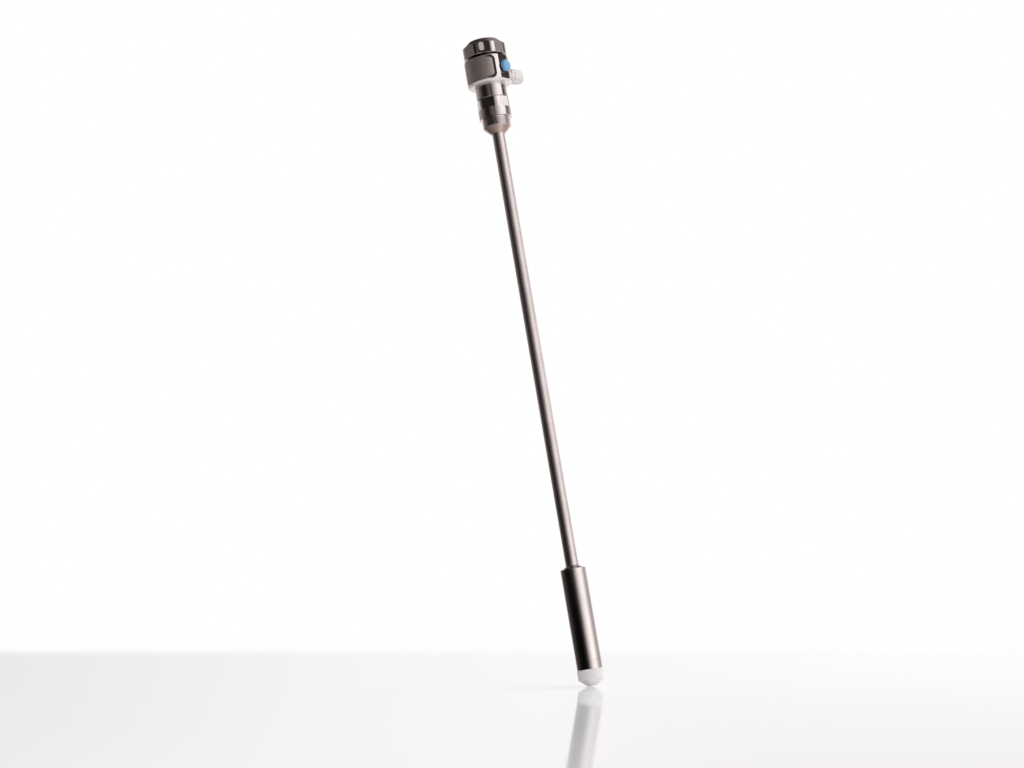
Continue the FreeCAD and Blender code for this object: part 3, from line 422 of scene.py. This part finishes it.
threadEnd = -threadMount["dims"]["length_mm"]
coneSlope = (crest - connection["coneTip"]) / (threadEnd - lowest[2])
threadLow = threadEnd - connection["runOut"] * connection["depth"] / coneSlope
turns = (-connection["relief"] - threadLow) / connection["pitch"]
threadZ = np.linspace(threadLow, -connection["relief"], int(turns * connection["rowsPerTurn"]))[:, None]
swing = np.abs(2 * np.mod(threadZ / connection["pitch"] - angle / (2 * pi), 1.0) - 1)
swing = np.clip((swing - connection["rootLand"]) / connection["flank"], 0, 1)
threadR = root + connection["depth"] * swing * swing * (3 - 2 * swing)
threadR = np.minimum(threadR, connection["coneTip"] + (threadZ - lowest[2]) * coneSlope)

chamferTall = connection["chamferTall"]
chamferZ = np.linspace(hexTop - chamferTall, hexTop, connection["chamferRows"])[:, None]
chamferShare = (chamferZ - hexTop + chamferTall) / chamferTall
chamferR = np.minimum(hexRadius, barRadius - connection["topChamfer"] * chamferShare)

# rows from the rod's hole in the cone, up the outside and down the bore
edge = connection["edge"]
edgeMiddle = edge * connection["edgeMiddle"]
reliefRadius = root - connection["reliefDepth"]
rows = [(rodRadius, lowest[2]), (connection["coneTip"], lowest[2])]
rows += list(zip(threadR, threadZ[:, 0]))
rows += [(reliefRadius, connection["reliefSlope"] - connection["relief"])]
rows += [(reliefRadius, -connection["reliefFoot"]), (root + connection["reliefFlare"], 0.0)]
rows += [(barRadius - edge, 0.0), (barRadius - edgeMiddle, edgeMiddle), (barRadius, edge)]
rows += [(barRadius, edge + connection["edgeEnd"]), (barRadius, connection["collar"])]
rows += [(hexRadius, connection["collar"]), (hexRadius, hexTop - connection["hexMiddle"])]
rows += list(zip(chamferR, chamferZ[:, 0]))
rows += [(connection["spigot"], hexTop), (connection["spigot"], highest[2])]
rows += [(connection["leadBore"], highest[2]), (connection["leadBore"], rodTop), (rodRadius, rodTop)]
radius = np.stack([np.ones_like(angle) * r for r, z in rows])
height = np.array([z for r, z in rows])[:, None]
connectionSteel = {**headSteel, "heat": (threadEnd - connection["heatReach"], threadEnd)}
threadedConnection = surfacePiece("threaded_connection", turnedGrid(radius, height, angle) * mm,
                                  makeFinish("connectionSteel", connectionSteel), "stem",
                                  loop=True)
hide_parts("process_connection")
print("threaded connection:", len(threadedConnection.data.polygons), "faces")


# weld beads where the rod enters the connection and the sensor tube
# an ellipse carried round the rod, its half axes swelling with the ripples of the weld
weldBead = {"out": 1.1, "up": 1.0, "ripples": 54, "swell": 0.08, "lean": 0.6, "columns": 216, "rows": 12,
            "sharp": 60.0}
weldSteel = {"tones": ((0.62, 0.59, 0.57), (0.50, 0.46, 0.43)), "roughness": (0.20, 0.36), "metallic": 1.0,
             "stretch": (300.0, 300.0, 300.0), "lineDepth": 0.4, "relief": 0.2, "marks": 200.0}
weldFinish = makeFinish("weldSteel", weldSteel)


def makeWeld(name, level):
    around = np.linspace(0, 2 * pi, weldBead["columns"], endpoint=False)
    section = np.linspace(-pi, pi, weldBead["rows"], endpoint=False)[:, None]
    ripple = np.sin(around * weldBead["ripples"] / 2 + weldBead["lean"] * np.sin(section))
    swell = 1 + weldBead["swell"] * np.abs(ripple)
    beadR = rodRadius + weldBead["out"] * swell * np.cos(section)
    beadZ = level + weldBead["up"] * swell * np.sin(section)
    surfacePiece(name, turnedGrid(beadR, beadZ, around) * mm, weldFinish, "stem",
                 loop=True, sharp=weldBead["sharp"])


makeWeld("upper_weld", lowest[2])
makeWeld("lower_weld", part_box("probe_body")[1].z / mm)
print("weld beads made")


# bare plates: a rectangle with round corners, laid on a grid and given its distance from the outline
# each row is as wide as that rectangle is at its height; the distance is the usual one for a rounded box
def plateSheet(look):
    tall = look["height"] / 2
    wide = look["width"] / 2
    corner = look["corner"]
    up = np.sin(np.linspace(-pi / 2, pi / 2, look["rows"]))[:, None] * tall
    pulledIn = np.clip(np.abs(up) - (tall - corner), 0, corner)
    along = np.linspace(-1, 1, look["columns"]) * (wide - corner + np.sqrt(corner ** 2 - pulledIn ** 2))
    up = up + 0 * along
    outX = np.abs(along) - (wide - corner)
    outY = np.abs(up) - (tall - corner)
    outside = np.hypot(np.maximum(outX, 0), np.maximum(outY, 0)) + np.minimum(np.maximum(outX, outY), 0)
    return along, up, corner - outside


def finishPlate(piece, thickness):
    wall = piece.modifiers.new("thickness", "SOLIDIFY")
    wall.thickness = thickness * mm
    wall.offset = 1.0
    print("plate made:", piece.name)


plateGap = 0.02  # room for the glue

# foil plate bent round the housing: along the arc and up along Z
# its painted shade follows the outline at the right end as a dark edge and fades out towards the middle
foilPlate = {"middle": -159.0, "width": 68.0, "height": 40.4, "level": 82.4, "corner": 9.0,
             "thickness": 0.25, "paintedEdgeShade": 5.0, "shadeEdge": 1.2, "shadeFrom": 0.45, "shadeFull": 0.75,
             "columns": 136, "rows": 80}
satinFoil = {"tones": ((0.50, 0.43, 0.405), (0.42, 0.365, 0.345)), "metallic": 0.72,
             "roughness": (0.34, 0.46), "stretch": (12.0, 12.0, 1400.0), "lineDepth": 0.4, "relief": 0.15,
             "marks": 60.0, "paintedEdgeShade": (0.022, 0.019, 0.018)}
housingRadius = -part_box("housing")[0].x / mm
along, up, inset = plateSheet(foilPlate)
turned = radians(foilPlate["middle"]) + along / housingRadius
foilGrid = turnedGrid(housingRadius + plateGap + 0 * up, up + foilPlate["level"], turned)
foil = surfacePiece("foil_plate", foilGrid * mm, makeFinish("satinFoil", satinFoil), "head",
                    ring=False)
# painted shade along the plate's right end, fading towards the middle
share = along / (foilPlate["width"] / 2)
fadeLength = foilPlate["shadeFull"] - foilPlate["shadeFrom"]
paintedEdgeShade = np.clip((foilPlate["paintedEdgeShade"] - inset) / foilPlate["shadeEdge"], 0, 1)
paintedEdgeShade = paintedEdgeShade * np.clip((share - foilPlate["shadeFrom"]) / fadeLength, 0, 1)
keepValues(foil.data, "paintedEdgeShade", paintedEdgeShade)
finishPlate(foil, foilPlate["thickness"])

# small pale plate on one flat of the cover's octagon, a painted highlight: it stands for a soft bright
# reflection on that flat
flatHighlight = {"bearing": -130.5, "aside": -4.0, "level": 119.6, "width": 8.6, "height": 15.0, "corner": 3.6,
             "thickness": 0.25, "gripFrom": 0.4, "columns": 20, "rows": 36}
paintedHighlight = {"tones": ((0.62, 0.60, 0.585), (0.56, 0.54, 0.525)), "roughness": (0.35, 0.5), "marks": 300.0,
             "skinDepth": 0.3, "relief": 0.1}
outward = np.array([cos(radians(flatHighlight["bearing"])), sin(radians(flatHighlight["bearing"])), 0])
sideways = np.array([-outward[1], outward[0], 0])
upright = np.array([0, 0, 1])
coverPoints = np.array([vertex.co for vertex in nodes["cover"].data.vertices])
coverLow, coverHigh = (corner.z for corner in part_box("cover"))
gripPoints = coverPoints[coverPoints[:, 2] > coverLow + flatHighlight["gripFrom"] * (coverHigh - coverLow)]
flatOut = np.max(gripPoints @ outward) / mm
along, up, inset = plateSheet(flatHighlight)
flatGrid = ((along + flatHighlight["aside"])[:, :, None] * sideways + (flatOut + plateGap) * outward
            + (up + flatHighlight["level"])[:, :, None] * upright)
highlightPiece = surfacePiece("cover_highlight_plate", flatGrid * mm, makeFinish("paintedHighlight", paintedHighlight), "screw_cover",
                    ring=False)
finishPlate(highlightPiece, flatHighlight["thickness"])


# camera at the photograph's view: low in front, looking up along the leaning rod
shot = {"azimuth": -41.0, "distance": 3305.9, "height": -987.1, "focal": 2021.3, "yaw": -0.0144,
        "pitch": 0.1605, "roll": -0.167, "frameWidth": 1024, "sensor": 36.0, "reach": 50.0}


def turnAbout(vector, degrees):
    a = radians(degrees)
    spin = np.array([[cos(a), -sin(a), 0], [sin(a), cos(a), 0], [0, 0, 1]])
    return spin @ np.array(vector)


# three axes and a place as one matrix
def placeMatrix(axes, spot):
    return Matrix([[*row, along] for row, along in zip(np.stack(axes, 1), spot)] + [[0, 0, 0, 1]])


ahead = cos(shot["pitch"])
forward = np.array([sin(shot["yaw"]) * ahead, cos(shot["yaw"]) * ahead, sin(shot["pitch"])])
level = np.array([cos(shot["yaw"]), -sin(shot["yaw"]), 0])
above = np.cross(level, forward)
right = level * cos(shot["roll"]) + above * sin(shot["roll"])
top = -level * sin(shot["roll"]) + above * cos(shot["roll"])
right, top, forward = (turnAbout(v, shot["azimuth"]) for v in (right, top, forward))
eye = turnAbout([0, -shot["distance"], shot["height"]], shot["azimuth"]) * mm
cameraData = bpy.data.cameras.new("camera")
cameraData.sensor_width = shot["sensor"]
cameraData.lens = shot["focal"] * shot["sensor"] / shot["frameWidth"]
cameraData.clip_end = shot["reach"]
camera = bpy.data.objects.new("camera", cameraData)
bpy.context.scene.collection.objects.link(camera)
camera.matrix_world = placeMatrix([right, top, -forward], eye)
bpy.context.scene.camera = camera
print("camera placed, lens", round(cameraData.lens, 1), "mm")


# glossy pale floor under the nose, level in the photograph, fading out at its edges
# it mirrors most where it is seen at a low angle, its matt share keeps the shadow
# towards the left more of it is the plain tone, which only the camera sees; lengths are in metres
floorLook = {"lift": 4.5, "drop": 0.0002, "half": 1.8, "behind": 1.25, "front": 2.2, "cells": 48,
             "behindFade": 0.43, "sideFade": 0.45, "frontFade": 0.9, "tone": (0.95, 0.955, 0.97),
             "mattRoughness": 0.9, "seen": (0.96, 0.965, 0.99), "glow": 0.45, "leftGlow": 0.9,
             "glowFrom": -0.1, "glowRise": 0.5, "mirror": 0.50, "mirrorFrom": 0.15, "mirrorFull": 0.60,
             "ior": 1.45, "shine": (0.96, 0.99, 1.0), "roughness": 0.06}
lift = radians(floorLook["lift"])
floorUp = forward * sin(lift) + top * cos(lift)
floorDeep = forward * cos(lift) - top * sin(lift)
nosePoints = np.array([vertex.co for vertex in nodes["nose_cap"].data.vertices])
touch = nosePoints[np.argmin(nosePoints @ floorUp)]
points = floorLook["cells"] + 1
side = np.linspace(-floorLook["half"], floorLook["half"], points)
deep = np.linspace(-floorLook["front"], floorLook["behind"], points)[:, None]
floorGrid = touch + side[None, :, None] * right + deep[:, :, None] * floorDeep - floorLook["drop"] * floorUp
floorMesh = bpy.data.meshes.new("floor")
floorMesh.from_pydata(floorGrid.reshape(-1, 3).tolist(), [], gridQuads(points, points))
fadeValues = np.clip((floorLook["behind"] - deep) / floorLook["behindFade"], 0, 1)
fadeValues = fadeValues * np.clip((deep + floorLook["front"]) / floorLook["frontFade"], 0, 1)
fadeValues = fadeValues * np.clip((floorLook["half"] - np.abs(side)) / floorLook["sideFade"], 0, 1)
keepValues(floorMesh, "solid", fadeValues)
toLeft = np.clip((-side - floorLook["glowFrom"]) / floorLook["glowRise"], 0, 1)
glowValues = floorLook["glow"] + (floorLook["leftGlow"] - floorLook["glow"]) * toLeft + 0 * deep
keepValues(floorMesh, "glow", glowValues)
floor = bpy.data.objects.new("floor", floorMesh)
bpy.context.scene.collection.objects.link(floor)
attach(floor, "nose")  # the cap stands on it, also when it is pulled off
floor.visible_glossy = False


def mixShaders(tree, factor, a, b):
    node = tree.nodes.new("ShaderNodeMixShader")
    for socket, value in zip(node.inputs, (factor, a, b)):
        tree.links.new(value, socket)
    return node.outputs[0]


floorMaterial = bpy.data.materials.new("paleFloor")
floorMaterial.use_nodes = True
floorMesh.materials.append(floorMaterial)
tree = floorMaterial.node_tree
matt = tree.nodes["Principled BSDF"]
matt.inputs["Base Color"].default_value = (*floorLook["tone"], 1.0)
matt.inputs["Roughness"].default_value = floorLook["mattRoughness"]
matt.inputs["Specular IOR Level"].default_value = 0.0
plain = tree.nodes.new("ShaderNodeEmission")
plain.inputs["Color"].default_value = (*floorLook["seen"], 1.0)
mirror = tree.nodes.new("ShaderNodeBsdfGlossy")
mirror.inputs["Roughness"].default_value = floorLook["roughness"]
mirror.inputs["Color"].default_value = (*floorLook["shine"], 1.0)
clear = tree.nodes.new("ShaderNodeBsdfTransparent")
rays = tree.nodes.new("ShaderNodeLightPath")
glance = tree.nodes.new("ShaderNodeFresnel")
glance.inputs["IOR"].default_value = floorLook["ior"]
underside = tree.nodes.new("ShaderNodeNewGeometry")
glowing = mathNode(tree, "MULTIPLY", rays.outputs["Is Camera Ray"], pointMask(tree, "glow"))
mirrored = rangeNode(tree, glance.outputs["Fac"], floorLook["mirrorFrom"], floorLook["mirrorFull"],
                     toHigh=floorLook["mirror"])
shown = mathNode(tree, "MULTIPLY", rangeNode(tree, pointMask(tree, "solid"), 0.0, 1.0, kind="SMOOTHSTEP"),
                 mathNode(tree, "SUBTRACT", 1.0, underside.outputs["Backfacing"]))
base = mixShaders(tree, glowing, matt.outputs[0], plain.outputs[0])
polished = mixShaders(tree, mirrored, base, mirror.outputs[0])
faded = mixShaders(tree, shown, clear.outputs[0], polished)
tree.links.new(faded, tree.nodes["Material Output"].inputs["Surface"])
print("floor laid at", [round(float(v), 4) for v in touch])


# studio round the part: white behind, dark cards to the left and in front, a tall soft panel to the right
# each stop is (degrees from the camera, right positive, brightness as a share of the panel's)
# straight above and below, a stop is (sideways part of the direction, brightness)
# each blend is where the upright part of the direction goes over from one ring of stops to the next
studio = {
    "panel": 1.45,
    "lower": [(-180, 0.72), (-156, 0.72), (-138, 0.12), (-110, 0.045), (-88, 0.018), (-71, 0.006),
              (-50, 0.002), (-27, 0.002), (-13, 0.01), (0, 0.06), (13, 0.30), (27, 0.62), (41, 0.90),
              (54, 1.0), (72, 0.98), (88, 0.62), (108, 0.38), (136, 0.42), (152, 0.66), (180, 0.72)],
    "middle": [(-180, 0.72), (-140, 0.22), (-103, 0.09), (-77, 0.032), (-56, 0.022), (-36, 0.042),
               (-18, 0.11), (0, 0.29), (18, 0.56), (36, 0.72), (56, 0.72), (77, 0.66), (103, 0.66),
               (140, 0.74), (180, 0.72)],
    "upper": [(-180, 0.68), (-160, 0.50), (-140, 0.38), (-115, 0.26), (-91, 0.12), (-80, 0.07),
              (-68, 0.028), (-54, 0.007), (-37, 0.009), (-24, 0.055), (-12, 0.10), (-6, 0.07), (-3, 0.010),
              (4, 0.010), (8, 0.11), (22, 0.36), (38, 0.72), (54, 0.98), (70, 0.98), (83, 1.0), (87, 0.42),
              (93, 0.20), (97, 0.09), (99, 0.010), (106, 0.010), (111, 0.16), (128, 0.24), (142, 0.52),
              (180, 0.68)],
    "top": [(-0.6, 0.06), (-0.1, 0.03), (0.1, 0.07), (0.3, 0.30), (0.8, 0.45)],
    "beneath": [(-0.65, 0.19), (-0.35, 0.23), (0, 0.37), (0.2, 0.52), (0.44, 0.70), (0.62, 0.42),
                (0.85, 0.25)],
    "lowBlend": (0.070, 0.095), "highBlend": (0.262, 0.285), "topBlend": (0.48, 0.64),
    "beneathBlend": (-0.5, -0.8), "dark": (1.0, 0.85, 0.84), "light": (1.0, 0.97, 0.96),
}
world = bpy.data.worlds.new("studio")
bpy.context.scene.world = world
world.use_nodes = True
tree = world.node_tree
tree.nodes.clear()
direction = tree.nodes.new("ShaderNodeTexCoord")
squared = tree.nodes.new("ShaderNodeMapping")
squared.inputs["Rotation"].default_value = (0, 0, radians(-shot["azimuth"]))
tree.links.new(direction.outputs["Generated"], squared.inputs["Vector"])
parts = tree.nodes.new("ShaderNodeSeparateXYZ")
tree.links.new(squared.outputs["Vector"], parts.inputs["Vector"])
towards = mathNode(tree, "MULTIPLY", parts.outputs["Y"], -1.0)
bearing = rangeNode(tree, mathNode(tree, "ARCTAN2", parts.outputs["X"], towards), -pi, pi)
across = rangeNode(tree, parts.outputs["X"], -1.0, 1.0)


# stops from minus reach to reach, tinted warm where they are dark
def studioRamp(stops, along, reach):
    node = tree.nodes.new("ShaderNodeValToRGB")
    tree.links.new(along, node.inputs["Fac"])
    elements = node.color_ramp.elements
    while len(elements) < len(stops):
        elements.new(0.5)
    for element, (spot, share) in zip(elements, stops):
        tint = np.array(studio["dark"]) * (1 - share) + np.array(studio["light"]) * share
        element.position = (spot / reach + 1) / 2
        element.color = (*(tint * share), 1.0)
    return node.outputs["Color"]


def blendRings(span, first, second):
    return mixTone(tree, rangeNode(tree, parts.outputs["Z"], *span, kind="SMOOTHSTEP"), first, second)


halfTurn = 180
lowerRing = studioRamp(studio["lower"], bearing, halfTurn)
around = blendRings(studio["lowBlend"], lowerRing, studioRamp(studio["middle"], bearing, halfTurn))
around = blendRings(studio["highBlend"], around, studioRamp(studio["upper"], bearing, halfTurn))
around = blendRings(studio["topBlend"], around, studioRamp(studio["top"], across, 1))
around = blendRings(studio["beneathBlend"], around, studioRamp(studio["beneath"], across, 1))
lit = tree.nodes.new("ShaderNodeBackground")
lit.inputs["Strength"].default_value = studio["panel"]
tree.links.new(around, lit.inputs["Color"])
plainWhite = tree.nodes.new("ShaderNodeBackground")
plainWhite.inputs["Color"].default_value = (1, 1, 1, 1)
rays = tree.nodes.new("ShaderNodeLightPath")
seen = mixShaders(tree, rays.outputs["Is Camera Ray"], lit.outputs[0], plainWhite.outputs[0])
output = tree.nodes.new("ShaderNodeOutputWorld")
tree.links.new(seen, output.inputs["Surface"])

# two broad lamps lift the plastics and the floor to a plain level, and steel doesn't mirror them
# the key hangs behind on the right, a weak fill in front on the left
# reach and size are in metres, aim is a height on the rod in mm
keyLamp = {"bearing": 116.0, "rise": 34.0, "reach": 2.2, "size": 1.3, "power": 40.0, "aim": -300.0}
fillLamp = {"bearing": -28.0, "rise": 16.0, "reach": 2.4, "size": 1.6, "power": 15.0, "aim": -900.0}


def hangLamp(name, look):
    lampData = bpy.data.lights.new(name, "AREA")
    lampData.size = look["size"]
    lampData.energy = look["power"]
    lamp = bpy.data.objects.new(name, lampData)
    bpy.context.scene.collection.objects.link(lamp)
    swing = radians(look["bearing"])
    rise = radians(look["rise"])
    away = turnAbout([sin(swing) * cos(rise), -cos(swing) * cos(rise), sin(rise)], shot["azimuth"])
    lampSide = np.cross([0, 0, 1], away)
    lampSide = lampSide / np.linalg.norm(lampSide)
    lampUp = np.cross(away, lampSide)
    lampAt = np.array([0, 0, look["aim"] * mm]) + away * look["reach"]
    lamp.matrix_world = placeMatrix([lampSide, lampUp, away], lampAt)
    lamp.visible_glossy = False


hangLamp("keyLamp", keyLamp)
hangLamp("fillLamp", fillLamp)
bpy.context.scene.view_settings.view_transform = "Standard"
print("studio lit")
